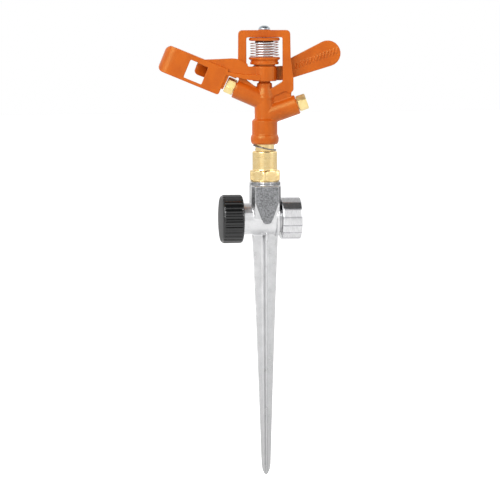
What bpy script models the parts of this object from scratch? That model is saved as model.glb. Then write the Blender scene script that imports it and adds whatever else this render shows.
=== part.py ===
"""Two-nozzle impact sprinkler: a moulded rotating head with a sprung impact arm,
a brass bearing, and a die-cast spike base with a flow-through hose tube.

Frame: origin at the spike's tip, +Z up along the axis that the head turns on, +X along the
hose tube towards the inlet swivel. Lengths below are millimetres, and every mesh is made
in metres.
"""
import math

import bmesh
import bpy
from mathutils import Matrix, Vector

MM = 0.001
GAP = 0.3
MERGE = 0.00001

# Spike base
TUBE_Z = 200.4
TUBE_R = 12.3
TUBE_BORE_R = 8.0
SOCKET_SIDE = 11.4
SOCKET_FRONT = 12.9
SOCKET_CHAMFER = (2.0, 5.4)
SOCKET_SHOULDER = 226.2
SOCKET_TOP = 229.6
COLLAR_R = 12.1
SOCKET_BORE_R = 10.5
SOCKET_BORE_BOTTOM = 210.9
HOSE_PITCH = 2.209
HOSE_MALE_R = 13.4
HOSE_FEMALE_R = 13.5
HOSE_THREAD_DEPTH = 1.1
MALE_END = -27.3
STUB_R = 10.0
STUB_END = 16.6
RING_GROOVE_R = 9.0
RING_GROOVE = (14.3, 15.7)

# Cap and swivel
CAP_R = 18.8
CAP_RIBS = 26
CAP_END = -34.8
CAP_MOUTH = -18.1
CAP_BORE_R = 13.8
CAP_FLOOR = -31.8
CAP_WASHER = 2.0
SWIVEL_R = 16.6
SWIVEL_FLATS = 32.2
SWIVEL_BACK = 11.9
SWIVEL_MOUTH = 27.2
SWIVEL_WALL = 2.2
SWIVEL_CAVITY_R = 12.6

# Brass bearing
NIPPLE_BOTTOM = 216.0
NIPPLE_HEX = (230.0, 238.1)
NIPPLE_HEX_FLATS = 23.2
NIPPLE_R = 9.65
NIPPLE_TOP = 252.9
NIPPLE_BORE_R = 7.6
SPINDLE_R = 7.3
SPINDLE_BORE_R = 5.2
SPINDLE_FLANGE = (211.6, 213.3)
SPINDLE_TOP = 274.0

# Rotating head
HEAD_TURN = math.radians(-7.5)
SLEEVE_BOTTOM = 258.3
SLEEVE_R = 9.85
COLUMN_R = 7.8
BARREL_R = 7.7
BARREL_BORE_R = 3.5
DRIVE_Z = 291.8
DRIVE_TILT = math.radians(23.7)
DRIVE_LENGTH = 24.9
SPREAD_Z = 280.2
SPREAD_TILT = math.radians(19.3)
SPREAD_LENGTH = 26.9
NOZZLE_FLATS = 11.2
NOZZLE_HEX_LENGTH = 7.3
NOZZLE_SHANK_R = 4.4
NOZZLE_SHANK_LENGTH = 7.0
BRIDGE_DEPTH = 9.0
BRIDGE_TOP = 346.4
BRIDGE_WINDOW_TOP = 340.9
NECK_TOP = 307.4

# Arm and its pivot
PIN_R = 2.0
PIN_HOLE_R = 2.3
PIN_BOTTOM = 297.6
HUB = (307.1, 318.8)
HUB_RECESS_TOP = 309.1
HUB_R = 9.5
HUB_TUBE_R = 5.4
HUB_TUBE_TOP = 335.9
HUB_BORE_R = 3.6
SPOON_TILT = math.radians(22.6)
SPOON_Z = 294.2
WEB_BACK = -4.8
WEB_FRONT = -7.2
SPOON_FRONT = -9.5
SPOON_WALL = 2.4
PADDLE = (4.8, 7.8)
SPRING_MEAN_R = 10.7
SPRING_WIRE_R = 0.55
SPRING_TURNS = 5.6
CUP_TOP = 325.6
SEAT_FACE = 338.2
SPRING_SLEEVE = (5.7, 6.65)

SMALL_STEPS = 16
STEPS = 28


def clear_scene():
    for obj in list(bpy.data.objects):
        bpy.data.objects.remove(obj, do_unlink=True)


clear_scene()
PARTS = bpy.data.collections.new("sprinkler")
TOOLS = bpy.data.collections.new("cutters")
bpy.context.scene.collection.children.link(PARTS)
bpy.context.scene.collection.children.link(TOOLS)


def make_material(name, colour, roughness, metallic):
    mat = bpy.data.materials.new(name)
    mat.use_nodes = True
    shader = mat.node_tree.nodes["Principled BSDF"]
    shader.inputs["Base Color"].default_value = (*colour, 1.0)
    shader.inputs["Roughness"].default_value = roughness
    shader.inputs["Metallic"].default_value = metallic
    return mat


ZINC = make_material("cast_zinc", (0.58, 0.59, 0.60), 0.42, 1.0)
BRIGHT_ZINC = make_material("turned_zinc", (0.72, 0.73, 0.74), 0.30, 1.0)
BRASS = make_material("brass", (0.80, 0.60, 0.28), 0.30, 1.0)
STEEL = make_material("spring_steel", (0.62, 0.63, 0.65), 0.28, 1.0)
ORANGE = make_material("orange_plastic", (0.66, 0.13, 0.02), 0.42, 0.0)
BLACK = make_material("black_plastic", (0.02, 0.02, 0.022), 0.45, 0.0)
RUBBER = make_material("rubber", (0.015, 0.015, 0.015), 0.80, 0.0)
NYLON = make_material("white_nylon", (0.78, 0.78, 0.75), 0.50, 0.0)


def make_empty(name, parent=None, location=(0, 0, 0), rotation=(0, 0, 0)):
    empty = bpy.data.objects.new(name, None)
    bpy.context.scene.collection.objects.link(empty)
    empty.parent = parent
    empty.location = Vector(location) * MM
    empty.rotation_euler = rotation
    return empty


# The moving groups' frames. In DRIVE the left barrel runs along -X, and in SPREAD the
# right barrel runs along +X.
HEAD = make_empty("head_axis", rotation=(0, 0, HEAD_TURN))
ARM = make_empty("arm_axis", HEAD)
DRIVE = make_empty("drive_axis", HEAD, (0, 0, DRIVE_Z), (0, DRIVE_TILT, 0))
SPOON = make_empty("spoon_axis", ARM, (0, 0, SPOON_Z), (0, SPOON_TILT, 0))
SPREAD = make_empty("spreader_axis", HEAD, (0, 0, SPREAD_Z), (0, -SPREAD_TILT, 0))
TOWARDS_PLUS_X = (0, math.radians(90), 0)
TOWARDS_MINUS_X = (0, math.radians(-90), 0)
FACING_FRONT = (math.radians(90), 0, 0)


def place(obj, parent=None, location=(0, 0, 0), rotation=(0, 0, 0)):
    obj.parent = parent
    obj.location = Vector(location) * MM
    obj.rotation_euler = rotation
    return obj


def new_object(name, mesh, material=None):
    obj = bpy.data.objects.new(name, mesh)
    PARTS.objects.link(obj)
    if material:
        mesh.materials.append(material)
    return obj


def finish(obj, sharp=35):
    """Round surfaces shade smoothly between edges sharper than the given angle."""
    bpy.context.view_layer.update()
    depsgraph = bpy.context.evaluated_depsgraph_get()
    mesh = bpy.data.meshes.new_from_object(obj.evaluated_get(depsgraph))
    obj.modifiers.clear()
    obj.data = mesh
    mesh.shade_smooth()
    mesh.set_sharp_from_angle(angle=math.radians(sharp))
    return obj


def use_as_tool(obj):
    PARTS.objects.unlink(obj)
    TOOLS.objects.link(obj)
    obj.hide_render = True
    obj.display_type = "WIRE"


def combine(obj, other, operation):
    modifier = obj.modifiers.new(operation.lower(), "BOOLEAN")
    modifier.operation = operation
    modifier.solver = "EXACT"
    modifier.object = other
    use_as_tool(other)


def join(obj, *others):
    for other in others:
        combine(obj, other, "UNION")


def cut(obj, *others):
    for other in others:
        combine(obj, other, "DIFFERENCE")


def keep_inside(obj, other):
    combine(obj, other, "INTERSECT")


# ---------------------------------------------------------------- shape helpers

def area(points):
    """Signed area of a closed outline, positive when it runs anticlockwise."""
    total = 0.0
    for (x1, y1), (x2, y2) in zip(points, points[1:] + points[:1]):
        total += x1 * y2 - x2 * y1
    return total / 2


def turned(name, profile, material=None, steps=STEPS):
    """Turn a closed (radius, height) outline about Z with a Screw modifier."""
    points = list(profile)
    if area(points) > 0:
        points.reverse()
    on_axis = [r < 1e-6 for r, _ in points]
    mesh = bpy.data.meshes.new(name)
    bm = bmesh.new()
    verts = [bm.verts.new((r * MM, 0, z * MM)) for r, z in points]
    for i, vert in enumerate(verts):
        after = (i + 1) % len(verts)
        if not (on_axis[i] and on_axis[after]):
            bm.edges.new((vert, verts[after]))
    bm.to_mesh(mesh)
    bm.free()
    obj = new_object(name, mesh, material)
    screw = obj.modifiers.new("turn", "SCREW")
    screw.steps = steps
    screw.render_steps = steps
    screw.use_merge_vertices = True
    screw.merge_threshold = MERGE
    screw.use_normal_calculate = False
    return finish(obj)


def cylinder(name, radius, low, high, material=None, steps=STEPS):
    return turned(name, [(0, high), (radius, high), (radius, low), (0, low)], material, steps)


def ring(name, outer, inner, low, high, material=None, steps=STEPS, edge=0.0):
    """A washer or tube, with its outer edges broken by a small chamfer."""
    profile = [(inner, high), (outer - edge, high)]
    if edge:
        profile += [(outer, high - edge), (outer, low + edge)]
    else:
        profile += [(outer, high)]
    profile += [(outer - edge, low), (inner, low)]
    return turned(name, profile, material, steps)


def arc(cx, cy, radius, start, end, count):
    """Points on an arc, with its angles in degrees."""
    points = []
    for i in range(count + 1):
        angle = math.radians(start + (end - start) * i / count)
        points.append((cx + radius * math.cos(angle), cy + radius * math.sin(angle)))
    return points


def rounded(corners, count=4):
    """Round an outline's corners, each given as (x, y, radius) or (x, y)."""
    points = []
    for i, corner in enumerate(corners):
        here = Vector(corner[:2])
        radius = corner[2] if len(corner) > 2 else 0
        if not radius:
            points.append(tuple(here))
            continue
        before = (Vector(corners[i - 1][:2]) - here).normalized()
        after = (Vector(corners[(i + 1) % len(corners)][:2]) - here).normalized()
        half = before.angle(after) / 2
        centre = here + (before + after).normalized() * radius / math.sin(half)
        first = here + before * radius / math.tan(half) - centre
        last = here + after * radius / math.tan(half) - centre
        sweep = first.angle_signed(last)
        start = math.atan2(first.y, first.x)
        for k in range(count + 1):
            angle = start - sweep * k / count
            points.append((centre.x + radius * math.cos(angle), centre.y + radius * math.sin(angle)))
    return points


def extrude(name, loops, thickness, material=None):
    """Extrude flat outlines about the XY plane; outlines after the first are holes."""
    curve = bpy.data.curves.new(name, "CURVE")
    curve.dimensions = "2D"
    curve.fill_mode = "BOTH"
    curve.extrude = thickness * MM / 2
    for loop in loops:
        spline = curve.splines.new("POLY")
        spline.points.add(len(loop) - 1)
        for point, (x, y) in zip(spline.points, loop):
            point.co = (x * MM, y * MM, 0, 1)
        spline.use_cyclic_u = True
    return curve_to_mesh(name, curve, material)


def curve_to_mesh(name, curve, material):
    guide = bpy.data.objects.new(name + "_curve", curve)
    TOOLS.objects.link(guide)
    bpy.context.view_layer.update()
    depsgraph = bpy.context.evaluated_depsgraph_get()
    mesh = bpy.data.meshes.new_from_object(guide.evaluated_get(depsgraph))
    bpy.data.objects.remove(guide, do_unlink=True)
    mesh.name = name
    mesh.materials.clear()
    bm = bmesh.new()
    bm.from_mesh(mesh)
    bmesh.ops.remove_doubles(bm, verts=bm.verts, dist=MERGE)
    bmesh.ops.recalc_face_normals(bm, faces=bm.faces)
    bm.to_mesh(mesh)
    bm.free()
    return new_object(name, mesh, material)


def upright(name, loops, back, front, parent, material=None):
    """A plate outlined in the XZ plane that fills the depth from front to back."""
    obj = extrude(name, loops, abs(back - front), material)
    return place(obj, parent, (0, (back + front) / 2, 0), FACING_FRONT)


def loft(name, rings, material=None):
    """A closed solid through rings that have the same number of points."""
    mesh = bpy.data.meshes.new(name)
    bm = bmesh.new()
    loops = [[bm.verts.new(Vector(point) * MM) for point in points] for points in rings]
    count = len(loops[0])
    for low, high in zip(loops, loops[1:]):
        for i in range(count):
            after = (i + 1) % count
            bm.faces.new((low[i], low[after], high[after], high[i]))
    bm.faces.new(list(reversed(loops[0])))
    bm.faces.new(loops[-1])
    bmesh.ops.recalc_face_normals(bm, faces=bm.faces)
    bm.to_mesh(mesh)
    bm.free()
    return new_object(name, mesh, material)


def screw_thread(name, crest_r, depth, pitch, low, high, material=None, steps=22, per_turn=3):
    """A threaded rod along Z: one ridge winds round it, and fades out at both ends."""
    rings = []
    count = math.ceil((high - low) / pitch * per_turn)
    for k in range(count + 1):
        z = low + (high - low) * k / count
        fade = min(1.0, (z - low) / pitch, (high - z) / pitch)
        points = []
        for i in range(steps):
            turn = i / steps
            phase = (z / pitch - turn) % 1.0
            ridge = max(0.0, min(1.0, 1.6 - abs(phase - 0.5) * 4))
            radius = crest_r - depth * (1 - ridge * fade)
            angle = turn * 2 * math.pi
            points.append((radius * math.cos(angle), radius * math.sin(angle), z))
        rings.append(points)
    return loft(name, rings, material)


def hexagon(name, flats, low, high, material=None, turn=0.0):
    """A hex prism along Z whose corners are chamfered at both ends."""
    corner_r = flats / 2 / math.cos(math.pi / 6)
    points = [(corner_r * math.cos(turn + math.pi / 3 * i),
               corner_r * math.sin(turn + math.pi / 3 * i)) for i in range(6)]
    prism = loft(name, [[(x, y, z) for x, y in points] for z in (low, high)], material)
    rim = flats / 2 * 0.99
    drop = (corner_r - rim) * 0.62
    barrel = turned(name + "_chamfer", [(0, high), (rim, high), (corner_r, high - drop),
                                        (corner_r, low + drop), (rim, low), (0, low)],
                    steps=SMALL_STEPS)
    keep_inside(prism, barrel)
    return finish(prism)


def coil(name, mean_r, wire_r, low, high, turns, material, start=0.0, flare=0.0, per_turn=12):
    """A round-wire coil about Z, left-handed for negative turns; flare widens its lowest turn."""
    curve = bpy.data.curves.new(name, "CURVE")
    curve.dimensions = "3D"
    curve.bevel_depth = wire_r * MM
    curve.bevel_resolution = 2
    curve.use_fill_caps = True
    count = int(abs(turns) * per_turn)
    spline = curve.splines.new("POLY")
    spline.points.add(count)
    for i, point in enumerate(spline.points):
        along = i / count
        angle = start + turns * 2 * math.pi * along
        radius = mean_r + flare * max(0.0, 1 - along * abs(turns))
        z = low + (high - low) * along
        point.co = (radius * math.cos(angle) * MM, radius * math.sin(angle) * MM, z * MM, 1)
    return finish(curve_to_mesh(name, curve, material), sharp=60)


# ---------------------------------------------------------------- spike base

def spike_half_width(z):
    return 3.6 + 0.030 * (z - 8) + 0.00003 * (z - 8) ** 2


def spike_section(z, half_width, fin):
    """A cross of four fins with hollow corners, at one height."""
    root, fillet = 1.5 * fin, 1.5 * fin + min(1.6, 0.2 * half_width)
    quarter = [(half_width, fin), (fillet, root), (0.6 * root + 0.4 * fillet,) * 2,
               (root, fillet), (fin, half_width)]
    points = []
    for k in range(4):
        c, s = round(math.cos(k * math.pi / 2)), round(math.sin(k * math.pi / 2))
        points += [(c * x - s * y, s * x + c * y, z) for x, y in quarter]
    return points


def make_spike():
    rings = [spike_section(0, 0.7, 0.3), spike_section(1.2, 1.7, 0.5), spike_section(4, 2.9, 0.6)]
    for z in (8, 35, 65, 95, 125, 155, 180, 190):
        rings.append(spike_section(z, spike_half_width(z), 0.65 + 0.15 * z / 190))
    return finish(loft("spike", rings, ZINC))


def socket_outline():
    """A block with its corners cut off, as seen from above."""
    x, y = SOCKET_SIDE, SOCKET_FRONT
    quarter = [(x, y - SOCKET_CHAMFER[1]), (x - SOCKET_CHAMFER[0], y)]
    corners = quarter + [(-a, b) for a, b in reversed(quarter)]
    corners += [(-a, -b) for a, b in corners]
    return rounded([(a, b, 0.6) for a, b in corners], 2)


def make_spike_casting():
    tube = place(turned("spike_casting", [
        (0, STUB_END), (STUB_R - 0.4, STUB_END), (STUB_R, STUB_END - 0.4),
        (STUB_R, RING_GROOVE[1]), (RING_GROOVE_R, RING_GROOVE[1]),
        (RING_GROOVE_R, RING_GROOVE[0]), (STUB_R, RING_GROOVE[0]),
        (STUB_R, 10.2), (13.7, 10.2), (14.0, 9.9), (14.0, 8.2), (13.7, 7.9), (TUBE_R, 7.4),
        (TUBE_R, -18.2), (TUBE_R - 0.4, -18.6), (11.6, -18.6), (11.6, -21.0), (0, -21.0)], ZINC),
        None, (0, 0, TUBE_Z), TOWARDS_PLUS_X)
    thread = place(screw_thread("hose_thread", HOSE_MALE_R, HOSE_THREAD_DEPTH, HOSE_PITCH,
                                MALE_END, -19.4), None, (0, 0, TUBE_Z), TOWARDS_PLUS_X)
    socket = extrude("socket", [socket_outline()], SOCKET_SHOULDER - TUBE_Z)
    place(socket, None, (0, 0, (SOCKET_SHOULDER + TUBE_Z) / 2))
    collar = turned("collar", [(0, SOCKET_TOP), (COLLAR_R - 0.7, SOCKET_TOP),
                               (COLLAR_R, SOCKET_TOP - 0.7), (COLLAR_R, 222), (0, 222)])
    tongue = upright("tongue", [rounded([(-9.3, 216), (-9.3, 213.6, 3), (-3.2, 196.5, 3),
                                         (3.2, 196.5, 3), (9.3, 213.6, 3), (9.3, 216)])],
                     SOCKET_FRONT - 0.02, -SOCKET_FRONT + 0.02, None)
    tube_bore = place(cylinder("tube_bore", TUBE_BORE_R, MALE_END - 2, STUB_END + 2), None,
                      (0, 0, TUBE_Z), TOWARDS_PLUS_X)
    socket_bore = turned("socket_bore", [(0, SOCKET_TOP + 1), (SOCKET_BORE_R, SOCKET_TOP + 1),
                                         (SOCKET_BORE_R, SOCKET_BORE_BOTTOM),
                                         (TUBE_BORE_R - 1, SOCKET_BORE_BOTTOM),
                                         (TUBE_BORE_R - 1, TUBE_Z), (0, TUBE_Z)])
    join(tube, thread, socket, collar, tongue, make_spike())
    cut(tube, tube_bore, socket_bore)
    finish(tube)


def make_end_cap():
    """Ribbed all round, chamfered at its closed end, with a smooth lip at its mouth."""
    rings = []
    count = CAP_RIBS * 4
    levels = [(CAP_END, -1.6, 0.0), (CAP_END + 1.2, -0.25, 0.6), (CAP_END + 2.2, 0.0, 1.0),
              (CAP_MOUTH - 2.2, 0.0, 1.0), (CAP_MOUTH - 1.2, -0.2, 0.4), (CAP_MOUTH, -0.8, 0.0)]
    for x, grow, ribbed in levels:
        points = []
        for i in range(count):
            valley = 0.9 * ribbed if i % 4 in (2, 3) else 0.0
            radius = CAP_R + grow - valley
            angle = (i + (0.2 if i % 2 else -0.2)) * 2 * math.pi / count
            points.append((radius * math.cos(angle), radius * math.sin(angle), x))
        rings.append(points)
    cap = place(loft("end_cap", rings, BLACK), None, (0, 0, TUBE_Z), TOWARDS_PLUS_X)
    bore = place(cylinder("cap_bore", CAP_BORE_R, CAP_FLOOR, CAP_MOUTH + 1), None,
                 (0, 0, TUBE_Z), TOWARDS_PLUS_X)
    cut(cap, bore)
    finish(cap, sharp=25)
    washer_low = CAP_FLOOR + GAP
    washer = ring("end_cap_washer", CAP_BORE_R - GAP, 8.5, washer_low, washer_low + CAP_WASHER,
                  RUBBER, SMALL_STEPS, 0.3)
    place(washer, None, (0, 0, TUBE_Z), TOWARDS_PLUS_X)


def octagon(flats, corner_radius):
    reach = flats / 2 / math.cos(math.pi / 8)
    corners = []
    for k in range(8):
        angle = (k + 0.5) * math.pi / 4
        corners.append((reach * math.cos(angle), reach * math.sin(angle), corner_radius))
    return rounded(corners)


def make_hose_swivel():
    swivel = place(turned("hose_swivel", [
        (STUB_R + 0.4, SWIVEL_BACK), (STUB_R + 0.4, SWIVEL_BACK + SWIVEL_WALL),
        (SWIVEL_CAVITY_R, SWIVEL_BACK + SWIVEL_WALL), (SWIVEL_CAVITY_R, SWIVEL_MOUTH - 0.8),
        (SWIVEL_CAVITY_R + 0.8, SWIVEL_MOUTH), (SWIVEL_R - 0.7, SWIVEL_MOUTH),
        (SWIVEL_R + 0.1, SWIVEL_MOUTH - 0.8), (SWIVEL_R + 0.1, SWIVEL_BACK + 1.2),
        (SWIVEL_R - 1.1, SWIVEL_BACK)], BRIGHT_ZINC, 48), None, (0, 0, TUBE_Z), TOWARDS_PLUS_X)
    sides = place(extrude("swivel_sides", [octagon(SWIVEL_FLATS, 2.6)], 24), None,
                  ((SWIVEL_BACK + SWIVEL_MOUTH) / 2, 0, TUBE_Z), TOWARDS_PLUS_X)
    keep_inside(swivel, sides)
    thread = place(screw_thread("female_thread", HOSE_FEMALE_R, HOSE_THREAD_DEPTH, HOSE_PITCH,
                                19.5, SWIVEL_MOUTH + 1.5), None, (0, 0, TUBE_Z), TOWARDS_PLUS_X)
    cut(swivel, thread)
    finish(swivel)
    washer = ring("hose_washer", SWIVEL_CAVITY_R - GAP, 8.0, STUB_END + GAP, 19.2, RUBBER,
                  SMALL_STEPS, 0.3)
    place(washer, None, (0, 0, TUBE_Z), TOWARDS_PLUS_X)
    retainer = place(ring("swivel_retaining_ring", SWIVEL_CAVITY_R - 0.5, RING_GROOVE_R + GAP,
                          RING_GROOVE[0] + 0.15, RING_GROOVE[1] - 0.15, STEEL, SMALL_STEPS),
                     None, (0, 0, TUBE_Z), TOWARDS_PLUS_X)
    gap = upright("ring_gap", [[(14, 206), (18, 206), (18, 214), (14, 214)]], 2.5, -2.5, None)
    cut(retainer, gap)
    finish(retainer)


# ---------------------------------------------------------------- bearing

def make_bearing():
    nipple = turned("bearing_nipple", [
        (0, NIPPLE_TOP), (NIPPLE_R - 0.7, NIPPLE_TOP), (NIPPLE_R, NIPPLE_TOP - 0.7),
        (NIPPLE_R, NIPPLE_HEX[0] + 1), (9.9, NIPPLE_HEX[0] + 1), (9.9, NIPPLE_BOTTOM + 0.5),
        (9.4, NIPPLE_BOTTOM), (0, NIPPLE_BOTTOM)], BRASS)
    join(nipple, hexagon("nipple_hex", NIPPLE_HEX_FLATS, *NIPPLE_HEX, turn=math.radians(82.5)))
    cut(nipple, cylinder("nipple_bore", NIPPLE_BORE_R, NIPPLE_BOTTOM - 1, NIPPLE_TOP + 1))
    finish(nipple)
    spindle = turned("bearing_spindle", [
        (SPINDLE_BORE_R, SPINDLE_TOP), (SPINDLE_R, SPINDLE_TOP), (SPINDLE_R, SPINDLE_FLANGE[1]),
        (9.6, SPINDLE_FLANGE[1]), (9.6, SPINDLE_FLANGE[0]), (SPINDLE_BORE_R, SPINDLE_FLANGE[0])],
        BRASS)
    place(spindle, HEAD)
    seal_low = SPINDLE_FLANGE[1] + GAP
    slip_low = seal_low + 1.0 + GAP
    seal = ring("bearing_seal_washer", 9.7, NIPPLE_BORE_R, seal_low, seal_low + 1.0, RUBBER)
    slip = ring("bearing_slip_washer", 9.7, NIPPLE_BORE_R, slip_low, NIPPLE_BOTTOM - GAP, NYLON)
    place(seal, HEAD)
    place(slip, HEAD)
    wire = 0.5
    spring = coil("bearing_spring", 8.75, wire, NIPPLE_TOP + GAP + wire, SLEEVE_BOTTOM - GAP - wire,
                  -1.35, STEEL, start=math.radians(50))
    place(spring, HEAD)


# ---------------------------------------------------------------- rotating head

def barrel(name, length, rotation, parent):
    """A nozzle barrel from the head's axis, with its outer edge rounded."""
    shape = turned(name, [(0, length), (BARREL_R - 0.8, length), (BARREL_R - 0.25, length - 0.25),
                          (BARREL_R, length - 0.8), (BARREL_R, 0), (0, 0)])
    return place(shape, parent, rotation=rotation)


def barrel_bore(name, length, rotation, parent):
    """The water way along a barrel, wider where the nozzle screws in."""
    seat = length - NOZZLE_SHANK_LENGTH - 1.6
    bore_r = NOZZLE_SHANK_R + GAP
    shape = turned(name, [(0, length + 1), (bore_r, length + 1), (bore_r, seat),
                          (BARREL_BORE_R, seat), (BARREL_BORE_R, 0), (0, 0)], steps=SMALL_STEPS)
    return place(shape, parent, rotation=rotation)


def make_head_body():
    body = place(turned("head_body", [
        (0, NECK_TOP), (4.6, NECK_TOP), (4.6, 305.6), (5.5, 305.6), (5.9, 305.2), (5.9, 302.0),
        (6.6, 299.8), (7.5, 297.4), (COLUMN_R, 294.4), (COLUMN_R, 277.9), (8.6, 277.7),
        (SLEEVE_R, 276.2), (SLEEVE_R, 265.8), (10.5, 264.8), (10.9, 263.2), (10.95, 261.6),
        (10.6, 259.6), (9.9, SLEEVE_BOTTOM + 0.3), (9.6, SLEEVE_BOTTOM), (0, SLEEVE_BOTTOM)],
        ORANGE), HEAD)
    frame = [(-20.2, BRIDGE_TOP, 3), (20.0, BRIDGE_TOP, 3), (20.3, 326, 12), (22.4, 309, 8),
             (22.4, 300, 2.5), (19.6, 297.2, 1.5), (16.4, 299.6, 3), (5.0, 294.4), (0, 290),
             (-8, 292), (-19.3, 301.5), (-19.6, 308.8, 2), (-21.8, 312, 3), (-20.4, 326, 12)]
    window = [(-13.9, BRIDGE_WINDOW_TOP, 1.2), (14.0, BRIDGE_WINDOW_TOP, 1.2), (14.0, 306.7, 1.5),
              (5.0, 301.2), (0, 300), (-5.0, 301.2), (-13.9, 308.1, 1.5)]
    half = BRIDGE_DEPTH / 2
    bridge = upright("bridge", [rounded(frame), rounded(window)], half, -half, HEAD)
    edge = bridge.modifiers.new("edge", "BEVEL")
    edge.width = 0.7 * MM
    edge.segments = 2
    edge.limit_method = "ANGLE"
    edge.angle_limit = math.radians(50)
    finish(bridge)
    web = upright("strut_web", [[(4, 296), (4, 284), (20, 289), (20.8, 298.5), (15, 300)]],
                  3.4, -3.4, HEAD)
    left = barrel("drive_barrel", DRIVE_LENGTH, TOWARDS_MINUS_X, DRIVE)
    right = barrel("spreader_barrel", SPREAD_LENGTH, TOWARDS_PLUS_X, SPREAD)
    boss = place(cylinder("screw_boss", 4.6, 344, BRIDGE_TOP + 0.5), HEAD)
    join(body, left, right, bridge, web, boss)
    water_way = place(turned("water_way", [
        (0, 293.2), (2.5, 292.6), (5.0, 288.0), (5.0, SPINDLE_TOP + GAP),
        (SPINDLE_R + GAP, SPINDLE_TOP + GAP), (SPINDLE_R + GAP, SLEEVE_BOTTOM - 1),
        (0, SLEEVE_BOTTOM - 1)]), HEAD)
    pin_hole = place(cylinder("pin_hole", PIN_HOLE_R, PIN_BOTTOM - 0.4, 351, steps=SMALL_STEPS),
                     HEAD)
    cut(body, water_way, pin_hole,
        barrel_bore("drive_bore", DRIVE_LENGTH, TOWARDS_MINUS_X, DRIVE),
        barrel_bore("spreader_bore", SPREAD_LENGTH, TOWARDS_PLUS_X, SPREAD))
    finish(body)


def make_nozzle(name, length, orifice_r, rotation, parent):
    """A hex-headed nozzle screwed into a barrel's end, over its seal ring."""
    face = length + GAP
    tip = face + NOZZLE_HEX_LENGTH
    inner = length - NOZZLE_SHANK_LENGTH
    nozzle = hexagon(name, NOZZLE_FLATS, face, tip, BRASS, turn=math.radians(15))
    shank = cylinder(name + "_shank", NOZZLE_SHANK_R, inner, face + 1, steps=SMALL_STEPS)
    bore = turned(name + "_bore", [(0, tip + 1), (orifice_r + 0.9, tip + 1),
                                   (orifice_r + 0.9, tip - 0.6), (orifice_r, tip - 1.4),
                                   (3.1, inner - 1), (0, inner - 1)], steps=SMALL_STEPS)
    join(nozzle, shank)
    cut(nozzle, bore)
    place(finish(nozzle), parent, rotation=rotation)
    seal = ring(name + "_seal", NOZZLE_SHANK_R, 3.1, inner - 1.3, inner - GAP, RUBBER,
                SMALL_STEPS)
    place(seal, parent, rotation=rotation)


def make_pivot():
    """The dome-headed pivot screw, the seat under the bar, and the washer on the neck."""
    screw = turned("pivot_screw", [
        (0, 350.0), (1.6, 349.85), (3.0, 349.3), (4.1, 348.3), (4.6, 347.2), (0, 347.2)], STEEL)
    shank = cylinder("pivot_shank", PIN_R, PIN_BOTTOM, 347.8, steps=SMALL_STEPS)
    slot = upright("slot", [[(-2.6, 348.9), (2.6, 348.9), (2.6, 352), (-2.6, 352)]], 0.45, -0.45,
                   None)
    cross = upright("cross", [[(-0.47, 348.8), (0.47, 348.8), (0.47, 353), (-0.47, 353)]],
                    2.7, -2.7, None)
    join(slot, cross)
    join(screw, shank)
    cut(screw, finish(slot))
    place(finish(screw), HEAD)
    seat = turned("upper_spring_seat", [
        (PIN_HOLE_R, 340.6), (11.0, 340.6), (11.9, 339.8), (11.9, 338.9), (11.3, SEAT_FACE),
        (PIN_HOLE_R, SEAT_FACE)], ORANGE)
    place(seat, HEAD)
    washer = ring("spring_seat_washer", 7.2, PIN_HOLE_R, HUB_TUBE_TOP + GAP, SEAT_FACE - GAP,
                  RUBBER, SMALL_STEPS, 0.3)
    place(washer, HEAD)
    washer = ring("arm_thrust_washer", 4.4, PIN_HOLE_R, NECK_TOP + GAP, HUB_RECESS_TOP - GAP,
                  NYLON, SMALL_STEPS)
    place(washer, HEAD)


# ---------------------------------------------------------------- impact arm

SPOON_NEAR = 34.0
SPOON_FAR = 85.1
SPOON_TOP = 9.8
SPOON_FOOT = -11.4
SPOON_CURL_R = 8.5


def spoon_wall():
    """The spoon's side, seen from above: straight beside the jet, then curled across it."""
    outer_x = -(SPOON_FAR - SPOON_CURL_R)
    outer_y = SPOON_FRONT + SPOON_CURL_R
    outer = arc(outer_x, outer_y, SPOON_CURL_R, 270, 180, 8)
    inner = arc(outer_x, outer_y, SPOON_CURL_R - SPOON_WALL, 180, 270, 8)
    outline = [(-SPOON_NEAR, SPOON_FRONT)] + outer + [(-SPOON_FAR, 5.6), (-SPOON_FAR + 0.8, 6.4),
               (-SPOON_FAR + SPOON_WALL, 5.8)] + inner + [(-SPOON_NEAR, SPOON_FRONT + SPOON_WALL)]
    height = SPOON_TOP - SPOON_FOOT
    wall = extrude("impact_arm", [outline], height, ORANGE)
    return place(wall, SPOON, (0, 0, (SPOON_TOP + SPOON_FOOT) / 2))


def spoon_silhouette():
    """Rounds the spoon's corners as seen from the front."""
    outline = rounded([(-SPOON_NEAR + 1, SPOON_TOP + 5), (-SPOON_FAR + 9, SPOON_TOP + 5),
                       (-SPOON_FAR + 9, SPOON_TOP), (-SPOON_FAR - 0.1, SPOON_TOP, 5),
                       (-SPOON_FAR - 0.1, SPOON_FOOT, 4), (-SPOON_NEAR, SPOON_FOOT, 1.8),
                       (-SPOON_NEAR, SPOON_TOP)])
    return upright("spoon_silhouette", [outline], 12, -14, SPOON)


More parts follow.
